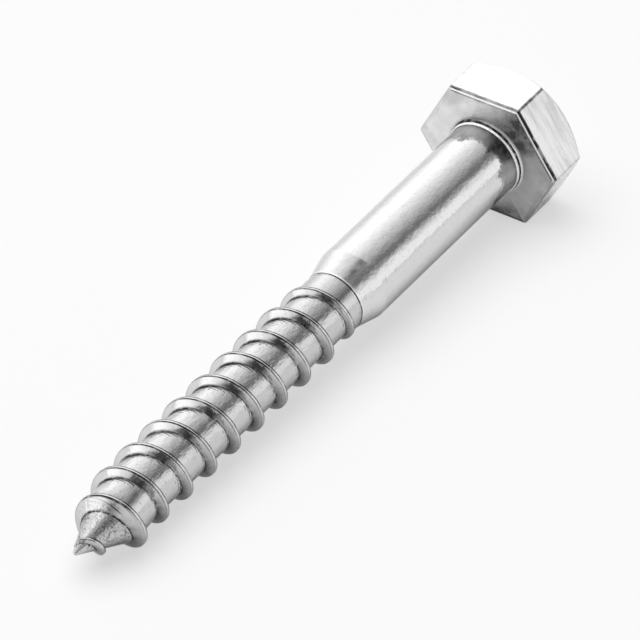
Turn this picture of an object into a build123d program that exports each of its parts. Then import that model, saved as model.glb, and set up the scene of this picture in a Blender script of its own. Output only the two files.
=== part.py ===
from build123d import *
import os
from math import asin, atan2, cos, degrees, pi, radians, sin, sqrt, tan

# Hexagon-head lag screw, size M10 x 80, one forged and rolled piece of steel.
# The screw is first built upright in its own frame: z = 0 is the bearing face under the
# head, +Z runs up through the head and the point is at -Z. It is then laid down on one
# flat of its head and on its last full thread. Lengths are in millimetres.

# Head
ACROSS_FLATS = 16.6
CORNER_HEIGHT = 5.16          # side edge of the hexagon, from the bearing face to the chamfer
HEAD_HEIGHT = 6.62
CHAMFER_SLOPE = 0.78          # rise of the top chamfer for each mm inwards
CORNER_ROUND = 0.22           # forging radius of the six side edges
BEARING_EDGE_ROUND = 0.16     # radius around the bearing face

# Ring and fillet under the head
RING_RADIUS = 5.12
RING_EDGE = 0.07
RING_HEIGHT = 0.37            # at the ring's outer edge
RING_INNER_RADIUS = 4.82
RING_INNER_Z = -0.45          # its face slopes down to here, where the fillet starts
FILLET_END_Z = -1.00

# Plain shank, taper and neck
SHANK_RADIUS = 4.70
SHANK_END_Z = -27.2
NECK_RADIUS = 3.88
NECK_START_Z = -30.65
SHOULDER_RADIUS = 3.80        # the taper runs on inside the neck to here
TAPER_RUN = 4.2               # axial run of the taper for each mm of radius
TAPER_BLEND = 3.0             # radius between the shank and the taper

# Thread: a coarse right-hand ridge with wide lands between its turns
PITCH = 4.5
CREST_RADIUS = 4.53
ROOT_RADIUS = 3.54
CREST_WIDTH = 0.40
FLANK_ANGLE = 28.0            # each flank, from the plane across the axis
CREST_PHASE_Z = -36.03        # a crest's head-side edge, on the side that lies down
ROOT_SINK = 0.35              # how far the ridge's foot is buried in the core
FOOT_REACH = 0.6              # the ridge's foot, from the middle of its crest

# Crest radius against turns from the phase height: the ridge grows out of the neck, stays
# full, then falls to nothing on the point.
CREST_AT_TURN = [
    (1.36, 3.66), (1.25, 3.90), (1.05, 4.01), (0.85, 4.14), (0.60, 4.22), (0.35, 4.34),
    (0.10, 4.44), (-0.15, 4.53), (-8.30, 4.53), (-8.42, 4.42), (-8.65, 3.73),
    (-8.90, 2.95), (-9.15, 2.20), (-9.40, 1.48), (-9.62, 0.80),
]
# Radius of the neck's land above the first turn: it runs out into the root behind it.
NECK_AT_TURN = [(1.30, 3.88), (0.25, 3.88), (-0.12, 3.42)]
NECK_TOP_Z = -30.1            # the land's upper edge, inside the taper
NECK_BAND = PITCH - 0.75 * CREST_WIDTH
NECK_INNER_RADIUS = 3.0
BLEND_TURNS = 0.07            # both schedules are averaged over this much of a turn
POINTS_PER_TURN = 12
RIDGE_SPAN = 0.5              # turns in one face of the ridge
LAST_FULL_TURN = -8           # the full turn that the screw lies on

# Point
POINT_START_Z = -73.2
POINT_END_Z = -80.49
TIP_RADIUS = 0.28
TIP_ROUND_Z = -80.33

OUT_DIR = "parts"


def between(table, turn):
    """Straight-line value of a (turn, value) table, held level past both ends."""
    if turn >= table[0][0]:
        return table[0][1]
    for (t0, v0), (t1, v1) in zip(table, table[1:]):
        if turn >= t1:
            return v1 + (v0 - v1) * (turn - t1) / (t0 - t1)
    return table[-1][1]


def blended(table, turn):
    """The table's value averaged over a short stretch of the helix, so that it has no kinks."""
    steps = 8
    shifts = [BLEND_TURNS * (2 * i / steps - 1) for i in range(steps + 1)]
    return sum(between(table, turn + s) for s in shifts) / len(shifts)


def core_radius(z):
    """Radius of the core under the thread: the root cylinder, then the cone of the point."""
    if z >= POINT_START_Z:
        return ROOT_RADIUS
    share = (z - TIP_ROUND_Z) / (POINT_START_Z - TIP_ROUND_Z)
    return TIP_RADIUS + (ROOT_RADIUS - TIP_RADIUS) * share


def on_helix(turn, radius, dz):
    """Point at the given turn of the right-hand helix, moved dz along the axis."""
    angle = 2 * pi * turn
    return (radius * cos(angle), radius * sin(angle), CREST_PHASE_Z + PITCH * turn + dz)


def ridge_corners(turn):
    """The ridge's section: foot, crest, crest and foot, from the head side to the point side."""
    middle = CREST_PHASE_Z + PITCH * turn - CREST_WIDTH / 2
    crest = blended(CREST_AT_TURN, turn)
    foot = max(core_radius(middle - FOOT_REACH) - ROOT_SINK, ROOT_SINK / 3)
    spread = (crest - foot) * tan(radians(FLANK_ANGLE))
    return [
        on_helix(turn, foot, spread),
        on_helix(turn, crest, 0),
        on_helix(turn, crest, -CREST_WIDTH),
        on_helix(turn, foot, -CREST_WIDTH - spread),
    ]


def neck_corners(turn):
    """The neck land's section: its lower and upper edges run inside the ridge or the taper."""
    lower = -CREST_WIDTH / 4
    upper = min(NECK_TOP_Z - CREST_PHASE_Z - PITCH * turn, NECK_BAND)
    outer = blended(NECK_AT_TURN, turn)
    return [
        on_helix(turn, NECK_INNER_RADIUS, upper),
        on_helix(turn, outer, upper),
        on_helix(turn, outer, lower),
        on_helix(turn, NECK_INNER_RADIUS, lower),
    ]


def helical_solid(corners, breaks):
    """Closed solid of a four-cornered section carried along the helix between the breaks."""
    faces = []
    for first, last in zip(breaks, breaks[1:]):
        count = max(6, round(abs(last - first) * POINTS_PER_TURN))
        stations = [first + (last - first) * i / count for i in range(count + 1)]
        tracks = [[corners(t)[c] for t in stations] for c in range(4)]
        edges = [Edge.make_spline([Vector(*p) for p in track]) for track in tracks]
        for c in range(4):
            faces.append(Face.make_surface_from_curves(edges[c], edges[(c + 1) % 4]))
    for end in (breaks[0], breaks[-1]):
        faces.append(Face(Wire.make_polygon([Vector(*p) for p in corners(end)], close=True)))
    return Solid(Shell(faces))


# The core: shank, fillet and ring, taper, root cylinder and point, turned as one profile.
fillet_middle = (
    SHANK_RADIUS + (RING_INNER_RADIUS - SHANK_RADIUS) * (1 - sqrt(0.5)),
    RING_INNER_Z + (FILLET_END_Z - RING_INNER_Z) * (1 - sqrt(0.5)),
)
tip_height = TIP_ROUND_Z - POINT_END_Z
ball = (TIP_RADIUS**2 + tip_height**2) / (2 * tip_height)
half_angle = asin(TIP_RADIUS / ball) / 2
tip_middle = (ball * sin(half_angle), POINT_END_Z + ball * (1 - cos(half_angle)))
with BuildPart() as core:
    with BuildSketch(Plane.XZ):
        with BuildLine():
            Polyline(
                (0, CORNER_HEIGHT / 2),
                (RING_RADIUS, CORNER_HEIGHT / 2),
                (RING_RADIUS, RING_EDGE - RING_HEIGHT),
                (RING_RADIUS - RING_EDGE, -RING_HEIGHT),
                (RING_INNER_RADIUS, RING_INNER_Z),
            )
            ThreePointArc(
                (RING_INNER_RADIUS, RING_INNER_Z), fillet_middle, (SHANK_RADIUS, FILLET_END_Z)
            )
            Polyline(
                (SHANK_RADIUS, FILLET_END_Z),
                (SHANK_RADIUS, SHANK_END_Z),
                (NECK_RADIUS, NECK_START_Z),
                (SHOULDER_RADIUS, NECK_START_Z - (NECK_RADIUS - SHOULDER_RADIUS) * TAPER_RUN),
                (ROOT_RADIUS, NECK_START_Z - (NECK_RADIUS - SHOULDER_RADIUS) * TAPER_RUN),
                (ROOT_RADIUS, POINT_START_Z),
                (TIP_RADIUS, TIP_ROUND_Z),
            )
            ThreePointArc((TIP_RADIUS, TIP_ROUND_Z), tip_middle, (0, POINT_END_Z))
            Line((0, POINT_END_Z), (0, CORNER_HEIGHT / 2))
        make_face()
    revolve(axis=Axis.Z)
    shank_end = core.edges().filter_by(GeomType.CIRCLE).sort_by(
        lambda e: abs(e.center().Z - SHANK_END_Z) + abs(e.radius - SHANK_RADIUS)
    )
    fillet(shank_end[0], TAPER_BLEND)


def evenly(first, last, step):
    """Values from first to last, in equal steps of about the given size."""
    count = max(1, round(abs(last - first) / step))
    return [first + (last - first) * i / count for i in range(count + 1)]


# The thread: the ridge, and the neck's land that closes the space above its first turn.
neck_switch = (NECK_TOP_Z - CREST_PHASE_Z - NECK_BAND) / PITCH
ridge_breaks = evenly(CREST_AT_TURN[0][0], CREST_AT_TURN[-1][0], RIDGE_SPAN)
neck_breaks = evenly(NECK_AT_TURN[0][0], neck_switch, RIDGE_SPAN) + [NECK_AT_TURN[-1][0]]
ridge = helical_solid(ridge_corners, ridge_breaks)
neck = helical_solid(neck_corners, neck_breaks)

# The head: a hexagon with one flat facing local +X, rounded edges and a chamfered top.
corner_radius = ACROSS_FLATS / sqrt(3)
chamfer_run = (HEAD_HEIGHT - CORNER_HEIGHT) / CHAMFER_SLOPE
with BuildPart() as head:
    with BuildSketch():
        RegularPolygon(corner_radius, 6, rotation=30)
    extrude(amount=HEAD_HEIGHT)
    fillet(head.edges().filter_by(Axis.Z), CORNER_ROUND)
    fillet(head.faces().sort_by(Axis.Z)[0].edges(), BEARING_EDGE_ROUND)
    with BuildSketch(Plane.XZ):
        Polygon(
            (0, 0),
            (corner_radius + 1, 0),
            (corner_radius + 1, CORNER_HEIGHT - CHAMFER_SLOPE),
            (corner_radius - chamfer_run, HEAD_HEIGHT),
            (0, HEAD_HEIGHT),
            align=None,
        )
    revolve(axis=Axis.Z, mode=Mode.INTERSECT)

# One solid, laid down: it rests on the bearing-face edge of the flat that faces local +X and
# on the crest of the last full turn there, so the axis falls gently towards the point.
screw = core.part.solid().fuse(neck).fuse(ridge).fuse(head.part.solid())
contact_z = CREST_PHASE_Z + PITCH * LAST_FULL_TURN - CREST_WIDTH / 2
tilt = degrees(atan2(ACROSS_FLATS / 2 - CREST_RADIUS, -contact_z))
screw = Rot(0, 90 - tilt, 0) * screw
screw.label = "lag_screw"

os.makedirs(OUT_DIR, exist_ok=True)
export_step(screw, os.path.join(OUT_DIR, "lag_screw.step"))
print(f"volume {screw.volume:.1f} mm3, axis tilt {tilt:.2f} degrees")
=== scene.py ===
import math

import bmesh
import bpy
import numpy as np
from mathutils import Matrix, Vector


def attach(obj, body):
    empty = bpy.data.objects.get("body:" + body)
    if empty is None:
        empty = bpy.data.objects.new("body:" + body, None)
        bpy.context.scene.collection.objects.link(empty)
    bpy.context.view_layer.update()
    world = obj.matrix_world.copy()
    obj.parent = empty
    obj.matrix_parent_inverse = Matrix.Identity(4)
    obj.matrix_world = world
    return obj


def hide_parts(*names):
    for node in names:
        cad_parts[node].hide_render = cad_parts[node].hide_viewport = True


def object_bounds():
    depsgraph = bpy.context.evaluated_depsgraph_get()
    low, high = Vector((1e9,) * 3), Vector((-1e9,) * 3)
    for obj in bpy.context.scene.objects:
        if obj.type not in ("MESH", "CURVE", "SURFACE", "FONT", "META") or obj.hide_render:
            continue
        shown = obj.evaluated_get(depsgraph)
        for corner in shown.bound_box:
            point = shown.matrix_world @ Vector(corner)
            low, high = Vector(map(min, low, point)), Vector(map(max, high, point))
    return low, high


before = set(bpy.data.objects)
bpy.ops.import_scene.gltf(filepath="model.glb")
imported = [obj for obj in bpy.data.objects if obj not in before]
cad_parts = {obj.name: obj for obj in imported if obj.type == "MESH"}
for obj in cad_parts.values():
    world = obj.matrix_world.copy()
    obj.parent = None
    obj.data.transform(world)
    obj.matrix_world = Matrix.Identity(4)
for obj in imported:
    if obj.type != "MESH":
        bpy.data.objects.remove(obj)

cad_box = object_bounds()
MM = 0.001


# ---- Thread ----------------------------------------------------------------------------
# A coarse right-hand wood thread, rolled into the steel blank between flat dies: a steep
# ridge with a narrow flat crest, split by the fine seam that rolling leaves, and wide plain
# lands between its turns. It grows out of a turned neck and dies away on the point.
# All shapes are worked out upright in millimetres, with the bearing face at height 0.
PITCH = 4.5
CREST_RADIUS = 4.53
ROOT_RADIUS = 3.54
CREST_WIDTH = 0.40
CREST_PHASE = -36.03         # height of a crest's upper edge on the side that lies down
FLANK = math.tan(math.radians(28))
SEAM_DEPTH = 0.02
SEAM_WIDTH = 0.06
SHANK_RADIUS = 4.70
SHANK_END = -27.2
NECK_RADIUS = 3.88
NECK_START = -30.65
POINT_START = -73.2
TIP_RADIUS = 0.28
TIP_ROUND = -80.33
THREAD_TOP = -30.75          # rings on the neck and on the cone where its rows stop
THREAD_BOTTOM = -79.80
# Radius of the crest by turn: up the cone, along the full thread, and down into the neck.
CREST = [
    (-9.75, 0.30), (-9.62, 0.80), (-9.40, 1.48), (-9.15, 2.20), (-8.90, 2.95), (-8.65, 3.73),
    (-8.42, 4.42), (-8.30, CREST_RADIUS), (-0.15, CREST_RADIUS), (0.10, 4.44), (0.35, 4.34),
    (0.60, 4.22), (0.85, 4.14), (1.05, 4.01), (1.25, 3.90), (1.36, 3.66),
]
NECK = [(-0.12, ROOT_RADIUS), (0.25, NECK_RADIUS)]
SMOOTHING = 0.07             # turns either side over which both are averaged
CREST_WAVER = 0.012
FULL_RIDGE = 0.3             # height from which a ridge has its full seam and tones
EDGE_ROUND = 0.07
# Painted shade in the corner at a flank's foot fades out between two distances over the land. On the far
# side a painted dark reflection reaches further, all along the thread but for its last turns.
FADE_START, FADE_END = 0.05, 0.20
FAR_REFLECTION_START, FAR_REFLECTION_END = 0.45, 0.50
FAR_REFLECTION_FROM = -8.6
FAR_REFLECTION_FULLY = -8.2

# Columns run around the axis, in degrees from the middle of a flat of the head. They crowd
# together at its six corners, where the side turns sharply.
half_flat = np.array([0, 3, 6, 9, 12, 15, 18, 21, 24, 26.5, 28.5, 29.15, 29.36, 29.68])
one_flat = np.concatenate([half_flat, 60 - np.append(half_flat, 30)[:0:-1]])
around = np.radians((one_flat[None, :] + 60 * np.arange(6)[:, None]).ravel())
columns = len(around)


def facing(degrees):
    """Share from 0 to 1 by how far each column faces an angle around the axis: half of one plus
    the cosine of the angle between them."""
    return 0.5 + 0.5 * np.cos(around - math.radians(degrees))


def blended(turn, table):
    """Radius at a turn, read from a table along straight lines and averaged over a short
    stretch either side."""
    steps = np.linspace(-SMOOTHING, SMOOTHING, 9)
    return sum(np.interp(turn + step, *zip(*table)) for step in steps) / len(steps)


def waver(turn, seed, size, waves):
    """Sum of sines along the helix, one for each number of waves per turn, with seeded phases
    and sizes between half and the whole, divided by the root of how many there are."""
    rng = np.random.default_rng(seed)
    phases, shares = rng.random(len(waves)), rng.uniform(0.5, 1.0, len(waves))
    parts = [s * np.sin(2 * np.pi * (w * turn + p)) for w, p, s in zip(waves, phases, shares)]
    return size * sum(parts) / math.sqrt(len(waves))


def core(z):
    """Radius of the core: the root cylinder above the point, then a straight cone to the tip."""
    share = (z - TIP_ROUND) / (POINT_START - TIP_ROUND)
    return np.minimum(ROOT_RADIUS, TIP_RADIUS + (ROOT_RADIUS - TIP_RADIUS) * share)


def land(turn, z):
    """Radius of the land above a turn: the core, raised to the neck above the first turn."""
    return core(z) + blended(turn, NECK) - ROOT_RADIUS


def crest(turn, z):
    """Crest radius at a turn: the table less a slight wave that keeps it inside the full
    radius, and never below the lands on its two sides."""
    wave = waver(turn, 3, CREST_WAVER, (2.3, 3.7, 5.9, 9.1)) - 1.25 * CREST_WAVER
    height = blended(turn, CREST) + wave
    return np.maximum(height, np.maximum(land(turn, z), land(turn - 1, z)))


def foot(turn, edge, side):
    """Where a flank meets its land: as far out from the crest's edge as the ridge is high
    there times the flank's slope, found in a few steps because the land may be a cone."""
    below = turn if side > 0 else turn - 1
    reach = 0
    for step in range(4):
        reach = np.maximum(crest(turn, edge) - land(below, edge + side * reach), 0) * FLANK
    return edge + side * reach, land(below, edge + side * reach)


def rounded(points, roundings, extra):
    """Rows of (height, radius, tone) along a line of corners. A corner with a rounding becomes
    a parabolic arc of three rows that starts and ends that far from it, and each straight
    between two corners gets extra rows at the given shares of its length."""
    line = np.stack([[np.broadcast_to(value, columns) for value in point] for point in points], axis=1)
    lengths = np.hypot(*np.diff(line[:2], axis=1)) + 1e-9
    rows, start = [line[:, 0]], line[:, 0]
    for j, (rounding, shares) in enumerate(zip(roundings, extra), 1):
        corner, end, arc = line[:, j], line[:, j], []
        if rounding:
            cut = np.minimum(rounding, 0.45 * np.minimum(lengths[j - 1], lengths[j]))
            end = corner + (line[:, j - 1] - corner) * cut / lengths[j - 1]
            after = corner + (line[:, j + 1] - corner) * cut / lengths[j]
            arc = [0.25 * end + 0.5 * corner + 0.25 * after, after]
        rows += [start + (end - start) * share for share in shares] + [end] + arc
        start = rows[-1]
    return np.stack(rows, axis=1)


def crest_tones(side):
    """Tones of the seam, lip, edge, high flank and low flank above (1) or below (-1) a crest: a constant
    each, plus a share that grows as a power of how far a column faces a given angle. They are painted
    shade, painted dark reflections and painted highlights, set by how each side of the screw faces the
    light. Tone is 1 for the darkest painted shade and -1 for a painted highlight."""
    edge = 0.7 + facing(225) ** 24 if side > 0 else 0.2 + 1.2 * facing(185) ** 4
    patch = 0.5 * facing(203) ** 60
    return 0.5 - 0.9 * facing(240), 0.1 + 0.5 * side, edge, patch, patch + 0.55 * facing(290) ** 3


def turn_of_thread(turn):
    """Section from the seam of one turn, down its upper flank and over the land to the seam
    of the next turn. Each crest gives its seam, lip, edge, two rows on its flank, its foot and
    two rows on the land, on the side that counts. They follow the helix: height is the pitch
    times the turn, plus the row's distance from the middle of the crest."""
    points = []
    for t, side in ((turn, 1), (turn + 1, -1)):
        land_turn = t if side > 0 else t - 1
        upper = CREST_PHASE + PITCH * t + waver(t, 5, CREST_WAVER, (1.7, 4.3, 7.9))
        middle = upper - CREST_WIDTH / 2
        edge = middle + side * CREST_WIDTH / 2
        lip = middle + side * SEAM_WIDTH
        full = np.clip((crest(t, middle) - land(t, middle)) / FULL_RIDGE, 0, 1)
        seam = SEAM_DEPTH * full * (0.8 + waver(t, 9, 0.35, (3.1, 6.7, 12.3)))
        top, bottom = np.array([edge, crest(t, edge)]), np.array(foot(t, edge, side))
        far_reflection = facing(125) ** 4 * np.interp(t, (FAR_REFLECTION_FROM, FAR_REFLECTION_FULLY), (0, 1)) * (side < 0)
        fading = bottom[0] + side * (FADE_START + FAR_REFLECTION_START * far_reflection)
        clean = bottom[0] + side * (FADE_END + FAR_REFLECTION_END * far_reflection)
        seam_tone, lip_tone, edge_tone, high_tone, low_tone = crest_tones(side)
        # Rows and their tones: painted shade and painted highlights on the crest and flanks, painted
        # shade at the foot, and the painted dark reflection beyond it on the far side.
        half = [
            (middle, crest(t, middle) - seam, seam_tone * full),
            (lip, crest(t, lip), lip_tone * full),
            (*top, edge_tone * full),
            (*(top + 0.15 * (bottom - top)), high_tone * full),
            (*(top + 0.82 * (bottom - top)), low_tone * full),
            (*bottom, full),
            (fading, land(land_turn, fading), 1.2 * far_reflection),
            (clean, land(land_turn, clean), 0),
        ]
        points += half[::side]
    flank_rounds = (0.02, EDGE_ROUND, 0, 0, EDGE_ROUND, 0, 0)
    flank_rows = ((), (), (), (0.5,), (), (), ())
    rows = rounded(
        points,
        (*flank_rounds, *flank_rounds[::-1], 0),
        (*flank_rows, (0.03, 0.25, 0.5, 0.75, 0.97), *flank_rows[::-1]),
    )
    return rows[:, :-1]


lowest = math.floor((THREAD_BOTTOM - CREST_PHASE) / PITCH) - 2
highest = math.ceil((THREAD_TOP - CREST_PHASE) / PITCH) + 1
turns = [turn_of_thread(k + around / (2 * np.pi)) for k in range(lowest, highest)]
rows_per_turn = turns[0].shape[1]
thread_z, thread_r, thread_tone = np.concatenate(turns, axis=1)
thread_z = np.clip(thread_z, THREAD_BOTTOM, THREAD_TOP)
thread_r = np.maximum(thread_r, core(thread_z))
thread_r = np.where(thread_z == THREAD_TOP, NECK_RADIUS, thread_r)
thread_r = np.where(thread_z == THREAD_BOTTOM, core(THREAD_BOTTOM), thread_r)
thread_tone = np.where((thread_z == THREAD_TOP) | (thread_z == THREAD_BOTTOM), 0, thread_tone)


# ---- Point -----------------------------------------------------------------------------
# Below the thread the core runs out in a cone with a blunt tip, where the dies pinched off
# the waste end of the blank.
TIP_END = -80.49

tip_height = TIP_ROUND - TIP_END
ball = (TIP_RADIUS**2 + tip_height**2) / (2 * tip_height)
cap = np.linspace(0, math.asin(TIP_RADIUS / ball), 5)
cone = np.linspace(TIP_ROUND, THREAD_BOTTOM, 5)[1:]
point_z = np.concatenate([TIP_END + ball * (1 - np.cos(cap)), cone])
point_r = np.concatenate([ball * np.sin(cap), core(cone)])


# ---- Shank and head --------------------------------------------------------------------
# The plain shank keeps the blank's own size. The hexagon is upset cold at its end, trimmed
# to its flats and chamfered on top; a fillet and a small raised ring lead into its bearing
# face.
ACROSS_FLATS = 16.6
HEAD_HEIGHT = 6.62
CORNER_HEIGHT = 5.16
CHAMFER_SLOPE = 0.78
CORNER_ROUND = 0.22
RING_RADIUS = 4.96
RING_HEIGHT = 0.52
RING_INNER = 4.77
FILLET_END = -1.30
LINE_START, LINE_FULL = 0.66, 0.50     # insets of the fine line round the bearing face
BEVEL = 0.40                 # height of the rolled-over edge around the bearing face
DARK_REFLECTION_SIDE = 225           # degrees around where a painted dark reflection lies under the head,
DARK_REFLECTION_SPREAD = 26           # how far it spreads either way,
SCUFFED_SIDE = 204.5         # and where the taper is scuffed
# Tones of each of the six sides, the one it lies on first: the face just inside its edge, the fine line
# on that, the fold, the bevel, the flat above it and the corner after it. They are painted shade and
# painted highlights, set side by side by how each faces the light: the side it lies on is darkest, in
# painted contact shadow.
SIDE_TONES = [
    (0.55, 1.4, 1.4, 1.3, 0.2, 0.0),
    (0.0, 0.1, 0.15, 0.10, 0.0, 0.0),
    (0.0, 0.1, 0.15, 0.10, 0.0, 0.0),
    (0.0, 0.8, -1.0, 0.45, -0.3, 0.6),
    (0.0, 1.1, -0.25, 0.80, 0.0, 0.1),
    (0.0, 0.25, 0.25, 0.10, -0.5, 0.2),
]

corner_radius = ACROSS_FLATS / math.sqrt(3)
from_flat = (around + np.pi / 6) % (np.pi / 3) - np.pi / 6
from_corner = np.pi / 6 - np.abs(from_flat)
round_centre = corner_radius - 2 * CORNER_ROUND / math.sqrt(3)
round_end = math.atan2(CORNER_ROUND / 2, round_centre + CORNER_ROUND * math.sqrt(0.75))
round_corner = round_centre * np.cos(from_corner) + np.sqrt(
    np.maximum(CORNER_ROUND**2 - (round_centre * np.sin(from_corner)) ** 2, 0)
)
hexagon = np.where(from_corner < round_end, round_corner, ACROSS_FLATS / 2 / np.cos(from_flat))
chamfer_z = CORNER_HEIGHT + (corner_radius - hexagon) * CHAMFER_SLOPE
top_radius = corner_radius - (HEAD_HEIGHT - CORNER_HEIGHT) / CHAMFER_SLOPE
flat = np.round(around / (np.pi / 3)).astype(int)
# Painted shade and painted highlights of each side from the table, and painted dark lines at the
# corners.
inner_tone, line_tone, fold_tone, bevel_tone, flat_tone = np.array(SIDE_TONES)[flat % 6, :5].T
side_before = np.floor(around / (np.pi / 3)).astype(int) % 6
corner_tone = np.array(SIDE_TONES)[side_before, 5]
flat_tone = np.where(from_corner < round_end * 1.3, corner_tone, flat_tone)
# Masks by side: the painted dark reflection under the head, the scuff on the taper, and the near side
# and far side, where painted shade and highlights differ.
dark_reflection = np.exp(-(((np.degrees(around) - DARK_REFLECTION_SIDE) / DARK_REFLECTION_SPREAD) ** 2))
scuff = facing(SCUFFED_SIDE) ** 350
near_side = facing(218) ** 4
far_side = facing(140) ** 2
ring_tone = 1.8 * far_side - 0.9
bevel_top = BEVEL + waver(around / (2 * math.pi), 11, 0.05, (7, 19, 31, 53))
taper_slope = (SHANK_RADIUS - NECK_RADIUS) / (SHANK_END - NECK_START)
shank = rounded(
    [
        # A fine step where the turned neck meets the taper, in painted shade that is darker on the near
        # side, then a painted highlight line and the scuffed taper.
        (THREAD_TOP, NECK_RADIUS, 0),
        (NECK_START - 0.04, NECK_RADIUS - 0.03, 0.6 + 0.7 * near_side),
        (NECK_START + 0.05, NECK_RADIUS + 0.03, 0.4 + 0.7 * near_side),
        (NECK_START + 0.14, NECK_RADIUS + 0.14 * taper_slope, -0.5),
        (NECK_START + 0.35, NECK_RADIUS + 0.35 * taper_slope, 0.5 * scuff),
        (SHANK_END, SHANK_RADIUS, 0.8 * scuff),
        (SHANK_END + 0.30, SHANK_RADIUS, 0),
        # The plain shank, and the fillet that spreads it under the head, with a painted dark reflection
        # on it and painted shade in its corner at the ring.
        (-3.0, SHANK_RADIUS, 0),
        (FILLET_END, SHANK_RADIUS, 0.8 * dark_reflection),
        (-RING_HEIGHT - 0.25, RING_INNER - 0.02, 0.7),
        # The raised ring: its shoulder with a painted highlight, its side in painted shade, and its foot
        # on the bearing face, in painted shade on the far side and with a painted highlight elsewhere.
        (-RING_HEIGHT - 0.20, RING_INNER, -0.9),
        (-RING_HEIGHT - 0.04, RING_RADIUS - 0.07, -0.9),
        (-RING_HEIGHT, RING_RADIUS - 0.04, 0.9),
        (-0.24, RING_RADIUS, 0.9),
        (-0.20, RING_RADIUS + 0.01, ring_tone),
        (0, RING_RADIUS + 0.10, ring_tone),
        (0, RING_RADIUS + 0.16, 0.5 * far_side),
        (0, RING_RADIUS + 0.43, dark_reflection + 0.1),
        (0, hexagon - LINE_START, dark_reflection + inner_tone),
    ],
    (0, 0, 0, 0, 0.06, 0, 0, 0.20, 0.02, 0, 0.03, 0, 0, 0, 0.03, 0, 0, 0),
    (
        (), (), (), (), (0.1, 0.35, 0.65, 0.9), (), np.linspace(0, 1, 18)[1:-1],
        (0.5,), (0.2, 0.5, 0.8), (), (), (), (), (), (), (), (), (0.03, 0.25, 0.5, 0.75, 0.97),
    ),
)
head = rounded(
    [
        # The fine line, the fold and the bevel round the bearing face.
        (0, hexagon - LINE_START, dark_reflection + inner_tone),
        (0, hexagon - LINE_FULL, line_tone),
        (0.01, hexagon - 0.42, line_tone),
        (0.02, hexagon - 0.38, fold_tone),
        (0.07, hexagon - 0.18, fold_tone),
        (0.10, hexagon - 0.15, 1.5 * bevel_tone),
        # The flats, the chamfer and the plain top.
        (bevel_top, hexagon, bevel_tone),
        (bevel_top + 0.12, hexagon, flat_tone),
        (chamfer_z, hexagon, flat_tone),
        (HEAD_HEIGHT, top_radius, 0),
        (HEAD_HEIGHT, 0, 0),
    ],
    (0, 0, 0, 0.02, 0, 0.06, 0, 0.10, 0.12, 0),
    (
        (), (), (), (), (), (0.1, 0.5, 0.9), (),
        (0.03, 0.25, 0.5, 0.75, 0.97), (0.05, 0.5, 0.95), (0.02, 0.25, 0.5, 0.75),
    ),
)
upper_z, upper_r, upper_tone = np.concatenate([shank, head[:, 1:]], axis=1)


# ---- The screw in one piece ------------------------------------------------------------
# Thread, point, shank and head are one length of steel with no joint anywhere, so their
# rows are stacked into a single skin. It is laid down as it comes to rest: on a flat of its
# head and on its last full turn. The last turn and the point sit slightly off centre.
LAST_FULL_TURN = -8
POINT_OFFSET = 0.33
BEND_START = -68.0           # the stretch of the axis over which it comes off centre
BEND_LENGTH = 5.2
GRIME_TOP = -74.3            # grime on the bare cone, between its thread's turns
GRIME_BOTTOM = -79.0
HIGHLIGHT_STRIPE_SIDE = 189             # where a painted highlight stripe runs along it
GRIME_SHARE = 0.8
HIGHLIGHT_STRIPE_SHARE = 2.3


def strip(z, r, tone, rise):
    """Points, square faces and tones of stacked rows around the axis: the last column joins
    the first one a number of rows higher up, the rows per turn where the rows are helical."""
    z, r, tone = (
        np.broadcast_to(values if values.ndim == 2 else values[:, None], (len(values), columns))
        for values in (z, r, tone)
    )
    points = np.stack([r * np.cos(around), r * np.sin(around), z], axis=-1)
    row, column = np.mgrid[0 : len(z) - 1, 0:columns]
    following = (column + 1) % columns
    lift = np.where(following == 0, rise, 0)
    top = len(z) - 1
    quads = np.stack(
        [
            row * columns + column,
            np.minimum(row + lift, top) * columns + following,
            np.minimum(row + lift + 1, top) * columns + following,
            (row + 1) * columns + column,
        ],
        axis=-1,
    ).reshape(-1, 4)
    size = np.ptp(z.ravel()[quads], axis=1) + np.ptp(r.ravel()[quads], axis=1)
    return points.reshape(-1, 3), quads[size > 0], tone.ravel()


strips = [
    strip(point_z, point_r, np.zeros(len(point_z)), 0),
    strip(thread_z, thread_r, thread_tone, rows_per_turn),
    strip(upper_z, upper_r, upper_tone, 0),
]
starts = np.cumsum([0] + [len(points) for points, quads, tones in strips[:-1]])
quads = np.concatenate([quads + start for start, (points, quads, tones) in zip(starts, strips)])
tones = np.concatenate([tones for points, quads, tones in strips])
points = np.concatenate([points for points, quads, tones in strips])

# Grime is an attribute of the bare cone, and less than 0 along a painted highlight stripe on one side of
# it.
x, y, z = points.T
on_cone = (np.hypot(x, y) < core(z) + 0.03) & (z < GRIME_TOP) & (z > GRIME_BOTTOM)
highlight_stripe = (0.5 + 0.5 * np.cos(np.arctan2(y, x) - math.radians(HIGHLIGHT_STRIPE_SIDE))) ** 40
grime_and_highlight = on_cone * (GRIME_SHARE - HIGHLIGHT_STRIPE_SHARE * highlight_stripe)

contact = CREST_PHASE + PITCH * LAST_FULL_TURN - CREST_WIDTH / 2
lean = math.atan2(ACROSS_FLATS / 2 - CREST_RADIUS, -contact)
laid = points @ np.array(Matrix.Rotation(math.pi / 2 - lean, 3, "Y")).T
slide = np.clip((BEND_START - z) / BEND_LENGTH, 0, 1)
laid[:, 1] -= POINT_OFFSET * slide**2 * (3 - 2 * slide)

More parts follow.
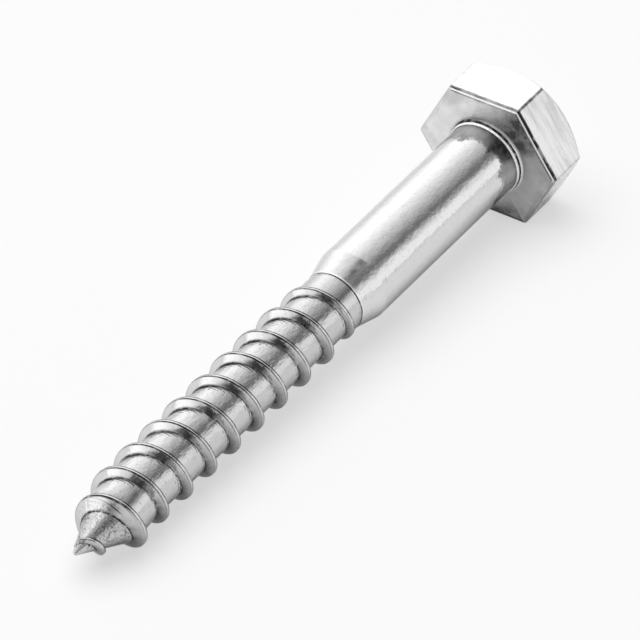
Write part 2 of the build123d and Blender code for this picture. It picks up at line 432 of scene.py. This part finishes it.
mesh = bpy.data.meshes.new("screw_body")
mesh.from_pydata((laid * MM).tolist(), [], quads.tolist())
for name, values in (("tone", tones), ("grime_and_highlight", grime_and_highlight)):
    mesh.attributes.new(name, "FLOAT", "POINT").data.foreach_set("value", values.astype(np.float32))
made = bmesh.new()
made.from_mesh(mesh)
bmesh.ops.remove_doubles(made, verts=made.verts, dist=2e-7)
bmesh.ops.dissolve_degenerate(made, edges=made.edges, dist=1e-8)
made.to_mesh(mesh)
made.free()
mesh.shade_smooth()
screw_body = bpy.data.objects.new("screw_body", mesh)
bpy.context.scene.collection.objects.link(screw_body)
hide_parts("lag_screw")
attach(screw_body, "root")


# ---- Steel -----------------------------------------------------------------------------
# Bright, lightly worn steel as it comes off the dies, with painted shade in its corners, and painted
# dark reflections and painted highlights along its edges. Fine streaks cross the flats, faint rings run
# round the neck and the lands, the bearing face is mottled where the tool pressed it, and the cone is
# grimy, with a painted highlight stripe along one side.
STEEL = 0.55
# The colour of dark scale and of painted shade, and the pale colour of painted highlights.
SCALE_AND_SHADE = 0.02
HIGHLIGHT_COLOUR = 0.95
TINT = 0.7
GROOVE_PITCH = 0.33
GROOVE_SHARE = 0.20          # height of the turned grooves, against the ripples' full height
RIPPLE_HEIGHT = 0.052 * MM
OUTWARDS = 0.83              # share of the radius in the ripples' height, for the flat faces


def add(tree, kind, inputs=None, **settings):
    """New node of a kind, with its settings, and each of its inputs given a value or a link."""
    made = tree.nodes.new("ShaderNode" + kind)
    for name, value in settings.items():
        setattr(made, name, value)
    for name, value in (inputs or {}).items():
        if isinstance(value, bpy.types.NodeSocket):
            tree.links.new(value, made.inputs[name])
        else:
            made.inputs[name].default_value = value
    return made


def maths(tree, operation, *values, clamp=False):
    """Result of one Math node on up to three values or sockets."""
    return add(tree, "Math", dict(enumerate(values)), operation=operation, use_clamp=clamp).outputs[0]


def ramp(tree, value, low, high, first=0.0, last=1.0, shape="SMOOTHSTEP"):
    """Step of a value, smooth unless its shape is given: first below low, last above high."""
    inputs = {"Value": value, "From Min": low, "From Max": high, "To Min": first, "To Max": last}
    return add(tree, "MapRange", inputs, interpolation_type=shape).outputs["Result"]


def grain(tree, place, stretch, detail=2.0, roughness=0.5):
    """Noise value on the screw's own millimetres, stretched by three scales."""
    spread = add(tree, "VectorMath", {0: place, 1: stretch}, operation="MULTIPLY").outputs[0]
    inputs = {"Vector": spread, "Scale": 1.0, "Detail": detail, "Roughness": roughness}
    return add(tree, "TexNoise", inputs).outputs["Fac"]


def band(tree, value, start, full, fade, end):
    """Mask that rises smoothly from start to full and falls again from fade to end."""
    rise, fall = ramp(tree, value, start, full), ramp(tree, value, fade, end, 1.0, 0.0)
    return maths(tree, "MULTIPLY", rise, fall)


def changed(tree, value, mask, change):
    """A value, multiplied by one plus a change as far as the mask is 1."""
    return maths(tree, "MULTIPLY", value, maths(tree, "MULTIPLY_ADD", mask, change, 1.0))


def plus(tree, value, mask, amount):
    """A value, plus an amount as far as the mask is 1."""
    return maths(tree, "MULTIPLY_ADD", mask, amount, value)


steel = bpy.data.materials.new("steel")
steel.use_nodes = True
tree = steel.node_tree
shader = tree.nodes["Principled BSDF"]
upright = add(
    tree,
    "Mapping",
    {
        "Vector": add(tree, "TexCoord").outputs["Object"],
        "Rotation": (0, lean - math.pi / 2, 0),
        "Scale": (1 / MM, 1 / MM, 1 / MM),
    },
).outputs[0]
height = add(tree, "SeparateXYZ", {0: upright}).outputs["Z"]
flat_place = add(tree, "VectorMath", {0: upright, 1: (1, 1, 0)}, operation="MULTIPLY").outputs[0]
radius = add(tree, "VectorMath", {0: flat_place}, operation="LENGTH").outputs["Value"]

# A place wound around the axis at one radius, so that ripples don't shrink towards it.
heading = add(tree, "VectorMath", {0: flat_place}, operation="NORMALIZE").outputs[0]
around_shank = (SHANK_RADIUS, SHANK_RADIUS, 0)
heading = add(tree, "VectorMath", {0: heading, 1: around_shank}, operation="MULTIPLY").outputs[0]
out = plus(tree, height, radius, OUTWARDS)
wound = add(tree, "CombineXYZ", {"Z": out}).outputs[0]
wound = add(tree, "VectorMath", {0: heading, 1: wound}, operation="ADD").outputs[0]

ripples = grain(tree, wound, (1.1, 1.1, 0.8), detail=4.0, roughness=0.55)
pores = grain(tree, upright, (3.0, 3.0, 3.4), detail=2.0, roughness=0.6)
blotches = grain(tree, upright, (0.40, 0.40, 0.40), detail=4.0, roughness=0.65)
streaks = grain(tree, upright, (0.10, 0.10, 1.1), detail=5.0, roughness=0.65)

# Masks for the parts of the screw, by height along its axis and radius from it.
on_thread = ramp(tree, height, -30.7, -30.8)
on_land = maths(tree, "MULTIPLY", on_thread, ramp(tree, radius, 3.60, 3.66, 1.0, 0.0))
in_neck = maths(tree, "MULTIPLY", ramp(tree, radius, 3.70, 3.82), ramp(tree, height, -30.6, -30.7))
in_neck = maths(tree, "MULTIPLY", ramp(tree, height, -34.0, -33.5), in_neck)
on_flats = ramp(tree, radius, 6.8, 7.6)
on_face = band(tree, height, -0.05, -0.01, 0.03, 0.08)
on_flank = maths(tree, "MULTIPLY", band(tree, radius, 3.60, 3.75, 4.42, 4.50), on_thread)
on_cone = add(tree, "Attribute", attribute_name="grime_and_highlight").outputs["Fac"]

# Relief: ripples, grooves in the neck and faintly on the lands, and the pressed bearing face.
groove = maths(tree, "SINE", maths(tree, "MULTIPLY", height, 2 * math.pi / GROOVE_PITCH))
turned = maths(tree, "MULTIPLY", on_land, ramp(tree, ripples, 0.40, 0.60, 0.0, 0.32))
turned = maths(tree, "MAXIMUM", turned, in_neck)
relief = plus(tree, ripples, maths(tree, "MULTIPLY", groove, turned), GROOVE_SHARE)
relief = plus(tree, relief, maths(tree, "MULTIPLY", on_face, blotches), 1.5)
relief = changed(tree, relief, on_thread, 0.7)
relief = changed(tree, relief, on_flank, -0.7)
relief = changed(tree, relief, on_flats, -0.6)
bump = add(tree, "Bump", {"Height": relief, "Distance": RIPPLE_HEIGHT, "Strength": 1.0})
tree.links.new(bump.outputs[0], shader.inputs["Normal"])

# Tone: the rows' own painted shade and painted highlights, broken up by the ripples, with specks,
# streaks and blotches added.
tone = add(tree, "Attribute", attribute_name="tone").outputs["Fac"]
tone = maths(tree, "MULTIPLY", tone, ramp(tree, ripples, 0.30, 0.55, 0.5, 1.1))
tone = changed(tree, tone, on_face, ramp(tree, blotches, 0.36, 0.60, -0.25, 0.1))
specks = plus(tree, plus(tree, 0.25, on_thread, 0.10), on_cone, 0.55)
tone = plus(tree, tone, ramp(tree, pores, 0.57, 0.80), specks)
tone = plus(tree, tone, on_cone, ramp(tree, pores, 0.42, 0.60, 0.10, 0.50))
tone = plus(tree, tone, maths(tree, "MULTIPLY", on_flats, ramp(tree, streaks, 0.42, 0.66)), 0.27)
tone = plus(tree, tone, maths(tree, "MULTIPLY", on_face, ramp(tree, blotches, 0.40, 0.62)), 0.08)
# Positive tone darkens towards the scale colour: painted shade, and specks, streaks, blotches and grime.
# Negative tone is a painted highlight: paler, rougher and less metallic.
dark = maths(tree, "MAXIMUM", tone, 0.0, clamp=True)
painted_highlight = maths(tree, "MULTIPLY", tone, -1.0, clamp=True)

colour = plus(tree, plus(tree, STEEL, dark, SCALE_AND_SHADE - STEEL), painted_highlight, HIGHLIGHT_COLOUR - STEEL)
colour = changed(tree, plus(tree, colour, on_face, 0.10), on_thread, -0.16)
tree.links.new(colour, shader.inputs["Base Color"])
shader.inputs["Specular Tint"].default_value = (TINT, TINT, TINT, 1)
metal = plus(tree, plus(tree, 1.0, painted_highlight, -0.8), on_face, -0.35)
tree.links.new(metal, shader.inputs["Metallic"])
rough = plus(tree, ramp(tree, ripples, 0.3, 0.7, 0.07, 0.13), painted_highlight, 0.35)
rough = plus(tree, rough, on_face, 0.22)
tree.links.new(rough, shader.inputs["Roughness"])
mesh.materials.append(steel)


# ---- Floor, light and camera -----------------------------------------------------------
# A plain white table in a soft studio: a long soft box behind the screw, a white wall in
# front of it and darker ceiling between them.
FLOOR = (0.80, 0.80, 0.80, 1)
FLOOR_SEEN = (0.295, 0.295, 0.295, 1)
GLOW_SEEN = 0.575            # brightness of the floor itself, to the camera
GLOW_IN_METAL = (0.17, 0.38)   # and as the steel sees it, in front of the screw and behind
FLOOR_REACH = 3.0

low = Vector(cad_box[0])
floor_mesh = bpy.data.meshes.new("floor")
floor_mesh.from_pydata(
    [(x * FLOOR_REACH, y * FLOOR_REACH, low.z) for x, y in ((-1, -1), (1, -1), (1, 1), (-1, 1))],
    [],
    [(0, 1, 2, 3)],
)
floor = bpy.data.objects.new("floor", floor_mesh)
bpy.context.scene.collection.objects.link(floor)
white = bpy.data.materials.new("floor")
white.use_nodes = True
tree = white.node_tree
tree.nodes.clear()
path = add(tree, "LightPath")
to_camera, to_metal = path.outputs["Is Camera Ray"], path.outputs["Is Glossy Ray"]
depth = add(tree, "SeparateXYZ", {0: add(tree, "TexCoord").outputs["Object"]}).outputs["Y"]
strength = maths(tree, "MULTIPLY", to_metal, ramp(tree, depth, 0.0, 0.03, *GLOW_IN_METAL))
strength = maths(tree, "MULTIPLY_ADD", to_camera, GLOW_SEEN, strength)
glow = add(tree, "Emission", {"Color": (1, 1, 1, 1), "Strength": strength})
paint = add(tree, "MixRGB", {0: to_camera, 1: FLOOR, 2: FLOOR_SEEN}).outputs[0]
matt = add(tree, "BsdfDiffuse", {"Color": paint})
both = add(tree, "AddShader", {0: matt.outputs[0], 1: glow.outputs[0]})
add(tree, "OutputMaterial", {"Surface": both.outputs[0]})
floor_mesh.materials.append(white)

# The walls as the steel mirrors them: brightness and, in degrees from straight up towards the
# front, where one turns into the next. A wide soft box glows behind the screw, strongest beside
# the shank, and fades evenly over the ceiling. The ceiling is dark towards the front, where a
# pale wall stands beside the head and the shank.
SOFT_BOX = 1.2
FAR_BOX = 0.66               # the box's share of that beyond the point
BACK_WALL = 0.75
BACK_WALL_AT_POINT = 1.3
DARK_CEILING = 0.16
FRONT_WALL = 0.76
BOX_RISES = (-90, -50)
BOX_FADES = (-50, 38)
FRONT_RISES = (40, 72)
LEVEL = 1.6                  # strength of the walls' light
SPILL = 0.2                  # how much the walls add to the lamp on matt surfaces

studio = bpy.data.worlds.new("studio")
bpy.context.scene.world = studio
studio.use_nodes = True
tree = studio.node_tree
tree.nodes.clear()
across = add(tree, "SeparateXYZ", {0: add(tree, "TexCoord").outputs["Generated"]})
along = across.outputs["X"]  # 1 at the head's end and -1 at the point's end
forward = maths(tree, "MULTIPLY", across.outputs["Y"], -1.0)
tilt = maths(tree, "DEGREES", maths(tree, "ARCTAN2", forward, across.outputs["Z"]))
box = ramp(tree, along, -0.30, 0.60, FAR_BOX * SOFT_BOX, SOFT_BOX)
box = maths(tree, "MULTIPLY", box, ramp(tree, along, 0.60, 1.0, 1.0, 0.40))
back = ramp(tree, along, -0.90, -0.30, BACK_WALL_AT_POINT, BACK_WALL)
glow = ramp(tree, tilt, *BOX_RISES, back, box)
glow = maths(tree, "MULTIPLY", glow, ramp(tree, tilt, *BOX_FADES, 1.0, 0.0, "LINEAR"))
front = ramp(tree, tilt, *FRONT_RISES, 0.0, FRONT_WALL)
front = maths(tree, "MULTIPLY", front, ramp(tree, along, -0.90, 0.30))
shade = maths(tree, "ADD", maths(tree, "ADD", glow, front), DARK_CEILING)
path = add(tree, "LightPath")
shine = changed(tree, maths(tree, "MULTIPLY", shade, LEVEL), path.outputs["Is Diffuse Ray"], SPILL - 1)
lit = add(tree, "Background", {"Color": (1, 1, 1, 1), "Strength": shine})
plain = add(tree, "Background", {"Color": (1, 1, 1, 1), "Strength": 1.0})
view = add(tree, "MixShader", {0: path.outputs["Is Camera Ray"], 1: lit.outputs[0], 2: plain.outputs[0]})
add(tree, "OutputWorld", {"Surface": view.outputs[0]})

key = bpy.data.lights.new("key", "AREA")
key.shape = "DISK"
key.size = 1.0
key.energy = 8.0             # a wide lamp overhead, which the steel doesn't mirror
key_lamp = bpy.data.objects.new("key", key)
key_lamp.visible_glossy = False
towards = Vector((0.0, 0.18, 1.0)).normalized()
key_lamp.matrix_world = Matrix.Translation(Vector((-0.035, 0, 0)) + towards * 0.7) @ (
    towards.to_track_quat("Z", "Y").to_matrix().to_4x4()
)
bpy.context.scene.collection.objects.link(key_lamp)

azimuth, elevation, roll = math.radians(52.912), math.radians(37.417), math.radians(-2.692)
distance = 832.264 * MM
aim = Vector((-33.469, 0.0, -2.386)) * MM
level = Vector((math.sin(azimuth), math.cos(azimuth), 0))
forward = level * math.cos(elevation) - Vector((0, 0, math.sin(elevation)))
camera = bpy.data.objects.new("camera", bpy.data.cameras.new("camera"))
camera.matrix_world = Matrix.Translation(aim - forward * distance) @ (
    forward.to_track_quat("-Z", "Y").to_matrix().to_4x4() @ Matrix.Rotation(roll, 4, "Z")
)
camera.data.lens = 413.736
camera.data.sensor_width = 36.0
bpy.context.scene.collection.objects.link(camera)
bpy.context.scene.camera = camera
bpy.context.scene.view_settings.view_transform = "Standard"
